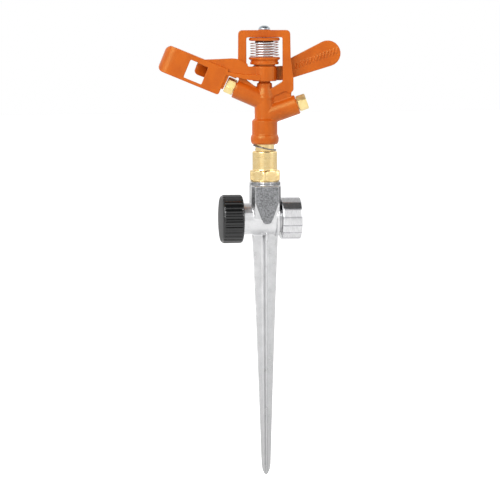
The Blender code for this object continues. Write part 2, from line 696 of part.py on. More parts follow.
def make_impact_arm():
    arm = spoon_wall()
    keep_inside(arm, spoon_silhouette())
    window = upright("spoon_window", [rounded([(-49.2, -8.9, 0.8), (-49.2, 5.8, 0.8),
                                               (-64.0, 5.8, 0.8), (-64.0, -8.9, 0.8)])],
                     SPOON_FRONT + SPOON_WALL + 1, SPOON_FRONT - 1, SPOON)
    cut(arm, window)
    top_wall = extrude("top_wall", [rounded([(-41, SPOON_FRONT + 0.5), (-41, 5.4, 2),
                                             (-77, 5.4, 2), (-82.6, 0), (-82.6, -4),
                                             (-78, SPOON_FRONT + 0.5)])], 2.4)
    place(top_wall, SPOON, (0, 0, SPOON_TOP - 1.3))
    vane_plan = [(-58.4, -2.6), (-57.4, -3.4), (-43.7, 3.4), (-42.7, 4.9), (-44.3, 4.9)]
    vane = place(extrude("vane", [vane_plan], 12.6), SPOON, (0, 0, 2.9))
    vane_corner = upright("vane_corner", [rounded([(-58.5, 9.5), (-58.5, -3.4, 4), (-42, -3.4, 1),
                                                   (-42, 9.5)])], 8, -8, SPOON)
    keep_inside(vane, vane_corner)
    finish(vane)
    roof = upright("roof", [rounded([(-45, SPOON_TOP), (-45, 7.3), (-34.2, 5.4, 0.5),
                                     (-24.8, 5.4, 0.5), (-27.9, 7.3), (-29.4, SPOON_TOP)])],
                   5.3, -6.1, SPOON)
    lip = upright("lip", [rounded([(-35.5, 6.5), (-35.5, -6), (-32.4, -6), (-31.8, 6.5)])],
                  -6.9, -8.3, SPOON)
    back_wall = upright("back_wall", [rounded([(-45, 8), (-43.5, -5.8, 1), (-33.4, -5.8, 1),
                                               (-33.4, 8)])], 5.4, 3.6, SPOON)
    rail = upright("rail", [rounded([(-51, 325.0), (-51, 321.4), (-46.5, 319.2), (-30.2, 312.4, 6),
                                     (-19.5, 309.8, 6), (-12, 308.1, 4), (-3, HUB[0] + 0.6),
                                     (-3, 312.2), (-15, 312.4, 8), (-30.5, 314.7, 10)])],
                   WEB_BACK, SPOON_FRONT, ARM)
    web = upright("web", [rounded([(-48.5, 324.0), (-43, 320.0), (-30.2, 313.5), (-19.5, 311.5),
                                   (-4, 310.5), (-4, HUB[1] - 0.3), (-12.6, HUB[1] - 0.3, 0.8),
                                   (-13.2, 320.8, 1), (-21.6, 324.6, 2), (-25, 324.9, 4),
                                   (-36, 324.4, 12)])], WEB_BACK, WEB_FRONT, ARM)
    end = arc(49.1, 328.1, 10, -74, 116, 12)
    paddle = upright("paddle", [[(0, HUB[0] + 0.3), (13, HUB[0] + 0.3), (22.4, 309.4)] + end +
                                [(21.5, 325.2), (17.5, 322.4), (14.2, 318.6), (8, HUB[1] - 0.6),
                                 (0, HUB[1] - 0.6)]], PADDLE[1], PADDLE[0], ARM)
    for blade in (web, paddle):
        edge = blade.modifiers.new("edge", "BEVEL")
        edge.width = 0.5 * MM
        edge.segments = 2
        edge.limit_method = "ANGLE"
        edge.angle_limit = math.radians(50)
        finish(blade)
    hub = place(turned("hub", [(0, HUB_TUBE_TOP), (HUB_TUBE_R - 0.4, HUB_TUBE_TOP),
                               (HUB_TUBE_R, HUB_TUBE_TOP - 0.4), (HUB_TUBE_R, HUB[1]),
                               (HUB_R - 0.5, HUB[1]), (HUB_R, HUB[1] - 0.5),
                               (HUB_R, HUB[0] + 0.5), (HUB_R - 0.5, HUB[0]), (0, HUB[0])]), ARM)
    join(arm, top_wall, vane, roof, lip, back_wall, rail, web, paddle, hub)
    bore = place(turned("hub_bore", [
        (0, HUB_TUBE_TOP + 1), (HUB_BORE_R, HUB_TUBE_TOP + 1), (HUB_BORE_R, HUB_RECESS_TOP),
        (4.9, HUB_RECESS_TOP), (4.9, HUB[0] - 1), (0, HUB[0] - 1)], steps=SMALL_STEPS), ARM)
    cut(arm, bore)
    finish(arm)


def make_arm_fittings():
    outer = HUB_BORE_R - GAP
    inner = PIN_R + GAP
    for name, low, high in (("lower_arm_bush", HUB_RECESS_TOP + 0.1, HUB_RECESS_TOP + 6.1),
                            ("upper_arm_bush", HUB_TUBE_TOP - 6.2, HUB_TUBE_TOP - 0.2)):
        place(ring(name, outer, inner, low, high, BRASS, SMALL_STEPS), ARM)
    sleeve_inner, sleeve_outer = SPRING_SLEEVE
    sleeve = ring("spring_sleeve", sleeve_outer, sleeve_inner, HUB[1] + GAP, HUB_TUBE_TOP - 0.1,
                  NYLON, STEPS, 0.2)
    place(sleeve, ARM)
    cup_bore = sleeve_outer + GAP
    cup = turned("spring_cup", [
        (cup_bore, CUP_TOP), (11.6, CUP_TOP), (12.1, 325.1), (12.1, 324.2),
        (10.6, 323.0), (10.5, 322.0), (11.1, 321.6), (11.1, 320.4), (10.7, 320.0), (8.4, 320.0),
        (8.4, HUB[1] + GAP), (cup_bore, HUB[1] + GAP)], ORANGE)
    place(cup, ARM)
    spring = coil("arm_spring", SPRING_MEAN_R, SPRING_WIRE_R, CUP_TOP + GAP + SPRING_WIRE_R,
                  SEAT_FACE - GAP - SPRING_WIRE_R, SPRING_TURNS, STEEL, start=math.radians(190),
                  flare=0.7)
    place(spring, ARM)


make_spike_casting()
make_end_cap()
make_hose_swivel()
make_bearing()
make_head_body()
make_nozzle("drive_nozzle", DRIVE_LENGTH, 2.1, TOWARDS_MINUS_X, DRIVE)
make_nozzle("spreader_nozzle", SPREAD_LENGTH, 1.5, TOWARDS_PLUS_X, SPREAD)
make_pivot()
make_impact_arm()
make_arm_fittings()
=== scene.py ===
import math

import bmesh
import bpy
import numpy as np
from mathutils import Matrix, Vector


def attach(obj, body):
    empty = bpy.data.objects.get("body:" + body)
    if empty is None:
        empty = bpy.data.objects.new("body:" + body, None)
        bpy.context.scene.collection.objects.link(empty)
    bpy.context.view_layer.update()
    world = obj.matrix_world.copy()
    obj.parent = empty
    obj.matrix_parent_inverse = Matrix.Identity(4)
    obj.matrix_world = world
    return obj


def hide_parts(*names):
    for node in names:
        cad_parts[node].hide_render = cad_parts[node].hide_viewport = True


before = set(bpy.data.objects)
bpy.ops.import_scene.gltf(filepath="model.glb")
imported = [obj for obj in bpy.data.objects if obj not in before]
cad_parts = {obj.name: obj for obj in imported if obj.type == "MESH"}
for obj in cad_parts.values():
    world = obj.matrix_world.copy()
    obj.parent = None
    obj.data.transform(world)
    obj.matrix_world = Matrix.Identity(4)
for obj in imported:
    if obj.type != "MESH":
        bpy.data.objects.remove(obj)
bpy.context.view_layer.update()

MM = 0.001


def turn(degrees, axis):
    return Matrix.Rotation(math.radians(degrees), 4, axis)


def shift(x, y, z):
    return Matrix.Translation(Vector((x, y, z)) * MM)


HEAD_TURN = -7.5        # degrees: the head faces the camera
TUBE_HEIGHT = 200.4     # millimetres, as all shapes below

# HEAD is the frame of the head and the arm: both barrels' axes lie in its XZ plane. +Z runs
# along the left barrel in ALONG_DRIVE, along the right barrel in ALONG_SPREAD, and along the
# hose tube to its inlet in TUBE.
HEAD = turn(HEAD_TURN, "Z")
ALONG_DRIVE = HEAD @ shift(0, 0, 291.8) @ turn(23.7 - 90, "Y")
ALONG_SPREAD = HEAD @ shift(0, 0, 280.2) @ turn(90 - 19.3, "Y")
TUBE = shift(0, 0, TUBE_HEIGHT) @ turn(90, "Y")


# ---------------------------------------------------------------- shape helpers

def new_object(name, bm, matrix=Matrix.Identity(4)):
    """A smooth-shaded mesh object whose place is in its vertices."""
    bmesh.ops.recalc_face_normals(bm, faces=bm.faces)
    mesh = bpy.data.meshes.new(name)
    bm.to_mesh(mesh)
    bm.free()
    mesh.transform(matrix)
    mesh.shade_smooth()
    obj = bpy.data.objects.new(name, mesh)
    bpy.context.scene.collection.objects.link(obj)
    return obj


def rounded(corners, count=5):
    """Round an outline's corners, each given as (x, y, radius) or (x, y)."""
    points = []
    for i, corner in enumerate(corners):
        here = Vector(corner[:2])
        radius = corner[2] if len(corner) > 2 else 0
        if not radius:
            points.append(tuple(here))
            continue
        before = (Vector(corners[i - 1][:2]) - here).normalized()
        after = (Vector(corners[(i + 1) % len(corners)][:2]) - here).normalized()
        half = before.angle(after) / 2
        centre = here + (before + after).normalized() * radius / math.sin(half)
        first = here + before * radius / math.tan(half) - centre
        last = here + after * radius / math.tan(half) - centre
        sweep = first.angle_signed(last)
        start = math.atan2(first.y, first.x)
        for k in range(count + 1):
            angle = start - sweep * k / count
            points.append((centre.x + radius * math.cos(angle), centre.y + radius * math.sin(angle)))
    return points


def turned(name, profile, matrix=Matrix.Identity(4), steps=96, sharp=None):
    """Turn a closed (radius, height) outline about Z, in millimetres."""
    bm = bmesh.new()
    columns = []
    for r, z in profile:
        if r < 1e-6:
            columns.append([bm.verts.new((0, 0, z * MM))] * steps)
            continue
        angles = [2 * math.pi * i / steps for i in range(steps)]
        columns.append([bm.verts.new((r * math.cos(a) * MM, r * math.sin(a) * MM, z * MM))
                        for a in angles])
    for a, b in zip(columns, columns[1:] + columns[:1]):
        for i in range(steps):
            j = (i + 1) % steps
            corners = list(dict.fromkeys((a[i], a[j], b[j], b[i])))
            if len(corners) > 2:
                bm.faces.new(corners)
    obj = new_object(name, bm, matrix)
    if sharp:
        obj.data.set_sharp_from_angle(angle=math.radians(sharp))
    return obj


def loft(name, rings, matrix=Matrix.Identity(4)):
    """A closed solid through rings with the same number of points, in millimetres."""
    bm = bmesh.new()
    loops = [[bm.verts.new(Vector(point) * MM) for point in points] for points in rings]
    count = len(loops[0])
    for low, high in zip(loops, loops[1:]):
        for i in range(count):
            j = (i + 1) % count
            bm.faces.new((low[i], low[j], high[j], high[i]))
    bm.faces.new(list(reversed(loops[0])))
    bm.faces.new(loops[-1])
    return new_object(name, bm, matrix)


def plate(name, outline, back, front, matrix):
    """A plate outlined in the XZ plane that fills the depth from back to front."""
    return loft(name, [[(x, depth, z) for x, z in outline] for depth in (back, front)], matrix)


def wire(name, path, radius, matrix=Matrix.Identity(4), sides=14):
    """A round wire about Z's coils: each path point is (distance from Z, angle, height)."""
    rings = []
    for k, (r, angle, z) in enumerate(path):
        taper = radius * min(1.0, 0.55 + 0.45 * min(k, len(path) - 1 - k) / 2)
        outwards = Vector((math.cos(angle), math.sin(angle), 0))
        centre = outwards * r + Vector((0, 0, z))
        rings.append([centre + outwards * taper * math.cos(2 * math.pi * i / sides)
                      + Vector((0, 0, taper * math.sin(2 * math.pi * i / sides)))
                      for i in range(sides)])
    return loft(name, rings, matrix)


def evaluated(obj):
    """Apply an object's modifiers to its mesh."""
    bpy.context.view_layer.update()
    depsgraph = bpy.context.evaluated_depsgraph_get()
    mesh = bpy.data.meshes.new_from_object(obj.evaluated_get(depsgraph))
    obj.modifiers.clear()
    obj.data = mesh
    mesh.shade_smooth()
    return obj


def boolean(obj, others, operation):
    for other in others:
        modifier = obj.modifiers.new(operation.lower(), "BOOLEAN")
        modifier.operation = operation
        modifier.solver = "EXACT"
        modifier.object = other
        evaluated(obj)
        bpy.data.objects.remove(other, do_unlink=True)
    return obj


def merged(obj, others):
    """Put other objects' faces into obj's mesh, so that a remesh can fuse them."""
    bm = bmesh.new()
    bm.from_mesh(obj.data)
    for other in others:
        bm.from_mesh(other.data)
        bpy.data.objects.remove(other, do_unlink=True)
    bm.to_mesh(obj.data)
    bm.free()
    return obj


def soften(obj, passes):
    """Round a mesh's edges a little and keep its volume: each pass smooths, then swells back."""
    smooth_step, swell_step = 0.55, -0.50
    mesh = obj.data
    co = np.empty(len(mesh.vertices) * 3)
    mesh.vertices.foreach_get("co", co)
    co = co.reshape(-1, 3)
    ends = np.empty(len(mesh.edges) * 2, np.int64)
    mesh.edges.foreach_get("vertices", ends)
    a, b = ends.reshape(-1, 2).T
    degree = np.bincount(ends, minlength=len(co)).astype(float)[:, None]
    for step in (smooth_step, swell_step) * passes:
        total = np.empty_like(co)
        for axis in range(3):
            total[:, axis] = np.bincount(a, co[b, axis], len(co)) + np.bincount(b, co[a, axis], len(co))
        co = co + step * (total / degree - co)
    mesh.vertices.foreach_set("co", co.ravel())
    mesh.update()
    return obj


def moulded(obj, voxel, passes, keep):
    """Fuse a mesh's solids into one skin with moulded fillets, and thin its triangles."""
    remesh = obj.modifiers.new("skin", "REMESH")
    remesh.mode = "VOXEL"
    remesh.voxel_size = voxel * MM
    evaluated(obj)
    soften(obj, passes)
    thin = obj.modifiers.new("thin", "DECIMATE")
    thin.ratio = keep
    return evaluated(obj)


def copy_of(node, name):
    """A new object with the node's mesh, as a start for a finer piece."""
    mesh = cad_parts[node].data.copy()
    mesh.materials.clear()
    obj = bpy.data.objects.new(name, mesh)
    bpy.context.scene.collection.objects.link(obj)
    bm = bmesh.new()
    bm.from_mesh(mesh)
    bmesh.ops.remove_doubles(bm, verts=bm.verts, dist=1e-6)
    bm.to_mesh(mesh)
    bm.free()
    return obj


def piece(obj, body, slot, material, *nodes):
    obj.data.materials.clear()
    obj.data.materials.append(material)
    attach(obj, body)
    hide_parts(*nodes)
    return obj


EDGE = 60.0      # how sharply a polygon's sides meet the circle round them


def section(z, radius, flats=0.0, sides=6, start=0.0, count=144):
    """A ring at one height: a circle, or a polygon where that lies inside the circle."""
    points = []
    for i in range(count):
        angle = 2 * math.pi * i / count
        r = radius
        if flats:
            step = 2 * math.pi / sides
            reach = flats / 2 / math.cos((angle - start + step / 2) % step - step / 2)
            r = (radius ** -EDGE + reach ** -EDGE) ** (-1 / EDGE)
        points.append((r * math.cos(angle), r * math.sin(angle), z))
    return points


def closed_loft(name, rings, matrix=Matrix.Identity(4), sharp=32):
    """A ring-shaped solid whose last ring joins its first; sharp is its edges' least angle."""
    bm = bmesh.new()
    loops = [[bm.verts.new(Vector(point) * MM) for point in points] for points in rings]
    count = len(loops[0])
    for low, high in zip(loops, loops[1:] + loops[:1]):
        for i in range(count):
            j = (i + 1) % count
            bm.faces.new((low[i], low[j], high[j], high[i]))
    obj = new_object(name, bm, matrix)
    obj.data.set_sharp_from_angle(angle=math.radians(sharp))
    return obj


# ---------------------------------------------------------------- materials

ORANGE = (0.63, 0.105, 0.003)
ORANGE_DEEP = (0.52, 0.070, 0.002)
ORANGE_PALE = (0.80, 0.24, 0.03)
ZINC = (0.90, 0.90, 0.91)
ZINC_SHADE = (0.72, 0.725, 0.73)
ZINC_GREY = (0.385, 0.39, 0.40)
ZINC_DARK = (0.14, 0.142, 0.147)
BRASS = (0.98, 0.765, 0.405)
BRASS_SHADE = (0.89, 0.64, 0.265)

TONGUE_TOP, TONGUE_TIP = (9.3, 213.6), (3.2, 196.5)     # half-width and height
SOCKET_CORNERS = 212.5                                  # the cut corners are above this height
SWIVEL_SIDES = 16
SWIVEL_PHASE = math.radians(4.85)
SWIVEL_LINE = 0.785     # where the dull lines fall round the swivel, as a part of one side


def node(tree, kind, inputs=None, **settings):
    made = tree.nodes.new(kind)
    for key, value in settings.items():
        setattr(made, key, value)
    for key, value in (inputs or {}).items():
        if isinstance(value, bpy.types.NodeSocket):
            tree.links.new(value, made.inputs[key])
        else:
            made.inputs[key].default_value = value
    return made


def principled(name, colour, roughness, metallic=0.0, **constants):
    mat = bpy.data.materials.new(name)
    mat.use_nodes = True
    shader = mat.node_tree.nodes["Principled BSDF"]
    shader.inputs["Base Color"].default_value = (*colour, 1.0)
    shader.inputs["Roughness"].default_value = roughness
    shader.inputs["Metallic"].default_value = metallic
    for key, value in constants.items():
        shader.inputs[key].default_value = value
    return mat, mat.node_tree, shader


def noise(tree, scale, detail=3.0, stretch=(1, 1, 1)):
    """Noise in the row frame: scale is in grains per metre, stretched along the axes."""
    place = node(tree, "ShaderNodeTexCoord").outputs["Object"]
    mapped = node(tree, "ShaderNodeMapping", {"Vector": place, "Scale": stretch})
    made = node(tree, "ShaderNodeTexNoise",
                {"Vector": mapped.outputs["Vector"], "Scale": scale, "Detail": detail})
    return made.outputs["Fac"]


def ramp(tree, factor, low, high, start=0.3, end=0.7):
    """Blend two colours, or two grey values, as factor goes from start to end."""
    made = node(tree, "ShaderNodeValToRGB", {"Fac": factor})
    colours = [(c, c, c) if isinstance(c, float) else c for c in (low, high)]
    for stop, position, colour in zip(made.color_ramp.elements, (start, end), colours):
        stop.position = position
        stop.color = (*colour, 1.0)
    return made.outputs["Color"]


def blend(tree, factor, a, b, mode="MIX"):
    mix = node(tree, "ShaderNodeMix", data_type="RGBA", blend_type=mode)
    for socket, value in ((mix.inputs[0], factor), (mix.inputs[6], a), (mix.inputs[7], b)):
        if isinstance(value, bpy.types.NodeSocket):
            tree.links.new(value, socket)
        else:
            socket.default_value = value
    return mix.outputs[2]


def bump(tree, height, distance, strength, normal=None):
    inputs = {"Height": height, "Distance": distance, "Strength": strength}
    if normal:
        inputs["Normal"] = normal
    return node(tree, "ShaderNodeBump", inputs).outputs["Normal"]


def maths(tree, operation, *values):
    """A sum's result, where each value is a number or another node's output."""
    return node(tree, "ShaderNodeMath", dict(enumerate(values)), operation=operation).outputs[0]


def parts_of(tree, coordinate):
    """The X, Y and Z of a place ("Object") or of a surface's direction ("Normal")."""
    vector = node(tree, "ShaderNodeTexCoord").outputs[coordinate]
    return node(tree, "ShaderNodeSeparateXYZ", {"Vector": vector}).outputs


def orange_plastic():
    """Moulded plastic: faint flow marks in the colour, a glossy skin and shallow sink marks."""
    mat, tree, shader = principled("orange_plastic_moulded", ORANGE, 0.34)
    shader.inputs["Specular IOR Level"].default_value = 0.75
    shader.inputs["Specular Tint"].default_value = (0.80, 1.0, 0.40, 1.0)
    flow = noise(tree, 75, 3.0, (1, 1, 0.5))
    speck = noise(tree, 1600, 2.0)
    colour = ramp(tree, flow, ORANGE_DEEP, ORANGE, 0.32, 0.60)
    colour = blend(tree, ramp(tree, speck, 0.0, 0.12, 0.45, 0.75), colour, (*ORANGE_PALE, 1))
    tree.links.new(colour, shader.inputs["Base Color"])
    tree.links.new(ramp(tree, noise(tree, 420), 0.28, 0.40), shader.inputs["Roughness"])
    skin = bump(tree, noise(tree, 2600, 2.0), 0.00003, 0.30)
    sink = bump(tree, noise(tree, 130, 2.0), 0.0004, 0.35, skin)
    tree.links.new(sink, shader.inputs["Normal"])
    return mat


def coarse_skin(tree):
    """1 where cast zinc is coarse: what faces front or back between the tongue's slanting sides,
    and the socket's cut corners. The narrow rounded edges between them stay out of it."""
    place, facing = parts_of(tree, "Object"), parts_of(tree, "Normal")

    def above(height):
        return maths(tree, "MULTIPLY", maths(tree, "SUBTRACT", place["Z"], height * MM), 1 / MM)

    slant = (TONGUE_TOP[0] - TONGUE_TIP[0]) / (TONGUE_TOP[1] - TONGUE_TIP[1])
    half_width = maths(tree, "MULTIPLY_ADD", place["Z"], slant,
                       (TONGUE_TIP[0] - slant * TONGUE_TIP[1]) * MM)
    inside = maths(tree, "SUBTRACT", half_width, maths(tree, "ABSOLUTE", place["X"]))
    inside = ramp(tree, maths(tree, "MULTIPLY", inside, 1 / MM), 0.0, 1.0, 0.0, 0.35)
    front = ramp(tree, maths(tree, "ABSOLUTE", facing["Y"]), 0.0, 1.0, 0.965, 0.99)
    top = ramp(tree, above(TONGUE_TIP[1]), 0.0, 1.0, 0.0, 0.4)
    face = maths(tree, "MULTIPLY", maths(tree, "MULTIPLY", inside, front), top)
    diagonal = maths(tree, "ABSOLUTE", maths(tree, "MULTIPLY", facing["X"], facing["Y"]))
    corner = maths(tree, "MULTIPLY", ramp(tree, diagonal, 0.0, 1.0, 0.27, 0.31),
                   ramp(tree, above(SOCKET_CORNERS), 0.0, 1.0, 0.0, 1.0))
    return maths(tree, "MAXIMUM", face, corner)


def cast_zinc():
    """Die-cast zinc: bright and smooth, darker towards the spike's tip as painted shade, and dark
    and coarse on the socket's flat faces."""
    mat, tree, shader = principled("cast_zinc_skin", ZINC, 0.38, 1.0)
    coarse = coarse_skin(tree)
    grain = noise(tree, 900, 4.0)
    fine = noise(tree, 2400, 2.0)
    cloud = noise(tree, 160, 3.0)
    smooth_colour = blend(tree, 0.5, ramp(tree, fine, ZINC_SHADE, ZINC, 0.35, 0.6),
                          ramp(tree, cloud, ZINC_SHADE, ZINC, 0.3, 0.65))
    # painted shade: the base colour darkens towards the spike's tip, by height alone
    height = maths(tree, "MULTIPLY", parts_of(tree, "Object")["Z"], 1 / (200 * MM))
    smooth_colour = blend(tree, 1.0, smooth_colour, ramp(tree, height, 0.58, 0.90, 0.10, 1.0), "MULTIPLY")
    coarse_colour = ramp(tree, grain, ZINC_DARK, ZINC_GREY, 0.30, 0.72)
    tree.links.new(blend(tree, coarse, smooth_colour, coarse_colour), shader.inputs["Base Color"])
    tree.links.new(blend(tree, coarse, ramp(tree, cloud, 0.26, 0.38), (0.58, 0.58, 0.58, 1)),
                   shader.inputs["Roughness"])
    rough = bump(tree, fine, 0.00004, 0.3)
    tree.links.new(bump(tree, noise(tree, 300, 2.0), 0.00015, 0.22, rough), shader.inputs["Normal"])
    return mat


def turned_metal(name, bright, shade, roughness, stretch, scale=260):
    """Machined metal: fine tool lines across the given stretch, and a slight tarnish."""
    mat, tree, shader = principled(name, bright, roughness, 1.0)
    lines = noise(tree, scale, 3.0, stretch)
    tarnish = noise(tree, 220, 3.0)
    colour = blend(tree, 0.45, ramp(tree, lines, shade, bright, 0.35, 0.65),
                   ramp(tree, tarnish, shade, bright, 0.25, 0.6))
    tree.links.new(colour, shader.inputs["Base Color"])
    tree.links.new(ramp(tree, lines, roughness - 0.05, roughness + 0.08), shader.inputs["Roughness"])
    tree.links.new(bump(tree, lines, 0.00002, 0.25), shader.inputs["Normal"])
    return mat


def dull(name, colour, pale, roughness, grain=2200):
    """Plain moulded plastic or rubber with a fine grain."""
    mat, tree, shader = principled(name, colour, roughness)
    speck = noise(tree, grain, 3.0)
    tree.links.new(ramp(tree, speck, colour, pale, 0.35, 0.8), shader.inputs["Base Color"])
    tree.links.new(ramp(tree, noise(tree, 350), roughness - 0.05, roughness + 0.08),
                   shader.inputs["Roughness"])
    tree.links.new(bump(tree, speck, 0.00004, 0.35), shader.inputs["Normal"])
    return mat


def gloss_black():
    """Glossy black plastic, duller on the closed end."""
    mat, tree, shader = principled("black_plastic_ribbed", (0.003, 0.0032, 0.0034), 0.25)
    shader.inputs["Specular IOR Level"].default_value = 0.65
    speck = noise(tree, 1800, 3.0)
    tree.links.new(ramp(tree, speck, (0.002, 0.0022, 0.0024), (0.007, 0.0074, 0.0078), 0.35, 0.8),
                   shader.inputs["Base Color"])
    endwise = maths(tree, "ABSOLUTE", parts_of(tree, "Normal")["X"])
    closed_end = ramp(tree, endwise, 0.0, 1.0, 0.85, 0.95)
    rough = ramp(tree, noise(tree, 500), 0.11, 0.18)
    tree.links.new(blend(tree, closed_end, rough, (0.5, 0.5, 0.5, 1)), shader.inputs["Roughness"])
    tree.links.new(bump(tree, speck, 0.00003, 0.25), shader.inputs["Normal"])
    return mat


def swivel_lines(tree):
    """1 on the dull, slightly ragged lines where the swivel's narrow flats meet."""
    place = parts_of(tree, "Object")
    height = maths(tree, "ADD", place["Z"], -TUBE_HEIGHT * MM)
    angle = maths(tree, "ARCTAN2", height, place["Y"])
    sides = maths(tree, "MULTIPLY_ADD", angle, SWIVEL_SIDES / (2 * math.pi), SWIVEL_LINE)
    across = maths(tree, "ABSOLUTE", maths(tree, "ADD", maths(tree, "FRACT", sides), -0.5))
    across = maths(tree, "MULTIPLY_ADD", noise(tree, 500, 2.0, (0.5, 1, 1)), 0.14, across)
    endwise = maths(tree, "ABSOLUTE", parts_of(tree, "Normal")["X"])
    return maths(tree, "MULTIPLY", ramp(tree, across, 1.0, 0.0, 0.10, 0.17),
                 ramp(tree, endwise, 1.0, 0.0, 0.5, 0.8))


def swivel_zinc():
    """Bright zinc with fine marks along it and dull lines where its narrow flats meet."""
    mat, tree, shader = principled("turned_zinc_brushed", (0.93, 0.93, 0.94), 0.16, 1.0)
    line = swivel_lines(tree)
    marks = noise(tree, 260, 3.0, (12, 1, 1))
    colour = ramp(tree, marks, (0.62, 0.62, 0.63), (0.78, 0.78, 0.79), 0.35, 0.65)
    tree.links.new(blend(tree, line, colour, (0.42, 0.42, 0.44, 1)), shader.inputs["Base Color"])
    tree.links.new(blend(tree, line, ramp(tree, marks, 0.13, 0.22), (0.4, 0.4, 0.4, 1)),
                   shader.inputs["Roughness"])
    tree.links.new(bump(tree, marks, 0.00002, 0.25), shader.inputs["Normal"])
    return mat


MOULDED = orange_plastic()
CAST = cast_zinc()
SWIVEL_ZINC = swivel_zinc()
BEARING_BRASS = turned_metal("brass_turned", BRASS, BRASS_SHADE, 0.20, (1, 1, 10))
NOZZLE_BRASS = turned_metal("brass_nozzle", (0.97, 0.80, 0.41), (0.84, 0.64, 0.24), 0.42, (1, 1, 1))
SPRING_STEEL = turned_metal("steel_wire", (0.86, 0.86, 0.88), (0.60, 0.61, 0.64), 0.20, (1, 1, 4), 700)
# painted shade: a darkened steel for the bearing spring, standing in for the shade under the collar
SHADED_STEEL_WIRE = turned_metal("steel_wire_painted_shade", (0.30, 0.30, 0.31), (0.14, 0.14, 0.15), 0.3, (1, 1, 4), 700)
SCREW_STEEL = turned_metal("steel_screw", (0.55, 0.60, 0.64), (0.36, 0.40, 0.44), 0.26, (1, 1, 1), 600)
CAP_PLASTIC = gloss_black()
SEAL_RUBBER = dull("black_rubber", (0.014, 0.014, 0.014), (0.03, 0.03, 0.03), 0.7)
# painted sheen: the sleeve's pale pink stands in for the spring wire's highlights blending with the orange
# column
SLEEVE_PAINTED_SHEEN = dull("pale_sleeve_painted_sheen", (0.56, 0.31, 0.23), (0.70, 0.46, 0.37), 0.4)
WHITE_NYLON = dull("white_nylon", (0.72, 0.72, 0.69), (0.80, 0.80, 0.77), 0.45)


# ---------------------------------------------------------------- base

HOSE_PITCH = 2.209
CAP_RADIUS, CAP_BORE = 18.8, 13.8
CAP_RIBS, RIB_DEPTH = 26, 0.9
SWIVEL_RADIUS, SWIVEL_BORE, TUBE_BORE = 16.6, 12.6, 10.4
SWIVEL_BACK, SWIVEL_MOUTH = 11.9, 27.2
THREAD_RADIUS, THREAD_RINGS, THREAD_STEP = 13.5, 31, 0.235


def make_base():
    base = moulded(copy_of("spike_casting", "cast_base"), 0.42, 3, 0.45)
    piece(base, "base", "cast_zinc", CAST, "spike_casting")


def cap_ring(x, radius, depth=0.0, per_rib=14):
    """A ring of the cap's outside: rounded ribs with flat-bottomed valleys between them."""
    count = CAP_RIBS * per_rib
    points = []
    for i in range(count):
        angle = 2 * math.pi * i / count
        wave = 0.5 + 0.5 * math.cos(angle * CAP_RIBS)
        crest = min(1.0, max(0.0, (wave - 0.18) / 0.5))
        r = radius - depth * (1 - crest * crest * (3 - 2 * crest))
        points.append((r * math.cos(angle), r * math.sin(angle), x))
    return points


def make_cap():
    """The cap's rings as (place along the tube, radius, rib depth): out, along and back inside."""
    rings = [(-34.8, 16.6), (-34.72, 17.1), (-34.4, 17.7), (-33.9, 18.2), (-33.4, 18.5, 0.1),
             (-33.0, 18.65, 0.45), (-32.6, 18.75, 0.8), (-32.2, CAP_RADIUS, RIB_DEPTH),
             (-26.0, CAP_RADIUS, RIB_DEPTH), (-20.2, CAP_RADIUS, RIB_DEPTH), (-19.6, 18.72, 0.75),
             (-19.1, 18.6, 0.45), (-18.7, 18.4, 0.15), (-18.3, 18.0), (-18.1, 17.5), (-18.1, 14.3),
             (-18.4, CAP_BORE + 0.1), (-18.8, CAP_BORE), (-31.8, CAP_BORE)]
    cap = loft("end_cap_ribbed", [cap_ring(*ring) for ring in rings], TUBE)
    cap.data.set_sharp_from_angle(angle=math.radians(40))
    piece(cap, "cap", "black_plastic", CAP_PLASTIC, "end_cap")


def thread_ring(x, minor, major, count=144):
    """A ring of a female thread: the groove winds once round for each pitch along the tube."""
    points = []
    for i in range(count):
        turned_by = i / count
        phase = (x / HOSE_PITCH - turned_by) % 1.0
        groove = max(0.0, min(1.0, 1.5 - abs(phase - 0.5) * 4))
        r = minor + (major - minor) * groove
        points.append((r * math.cos(turned_by * 2 * math.pi), r * math.sin(turned_by * 2 * math.pi), x))
    return points


def make_swivel():
    """A coupling with rounded rims and a 16-sided outside, whose thread runs out at its back."""
    outside = [(0.0, 15.6), (0.2, 16.0), (0.5, 16.3), (0.9, 16.5), (1.4, SWIVEL_RADIUS),
               (7.5, SWIVEL_RADIUS), (14.3, SWIVEL_RADIUS), (14.8, 16.5), (15.15, 16.25), (15.3, 15.9)]
    rings = [section(SWIVEL_BACK + x, radius + 0.3, 2 * radius - 0.35, SWIVEL_SIDES, SWIVEL_PHASE)
             for x, radius in outside]
    rings += [section(SWIVEL_MOUTH, THREAD_RADIUS + 0.4), section(SWIVEL_MOUTH - 0.3, THREAD_RADIUS + 0.1)]
    for k in range(THREAD_RINGS):
        run_out = min(1.0, (THREAD_RINGS - k) / 6)
        rings.append(thread_ring(SWIVEL_MOUTH - 0.5 - THREAD_STEP * k, SWIVEL_BORE,
                                 SWIVEL_BORE + (THREAD_RADIUS - SWIVEL_BORE) * run_out))
    rings += [section(19.4, SWIVEL_BORE), section(14.1, SWIVEL_BORE),
              section(14.1, TUBE_BORE), section(SWIVEL_BACK, TUBE_BORE)]
    swivel = closed_loft("hose_swivel_coupling", rings, TUBE, 28)
    piece(swivel, "inlet", "turned_zinc", SWIVEL_ZINC, "hose_swivel")


# ---------------------------------------------------------------- bearing

HEX_LOW, HEX_HIGH, HEX_FLATS = 230.0, 238.1, 23.2
NIPPLE_RADIUS, NIPPLE_BORE, NIPPLE_FOOT = 9.65, 7.6, 216.0


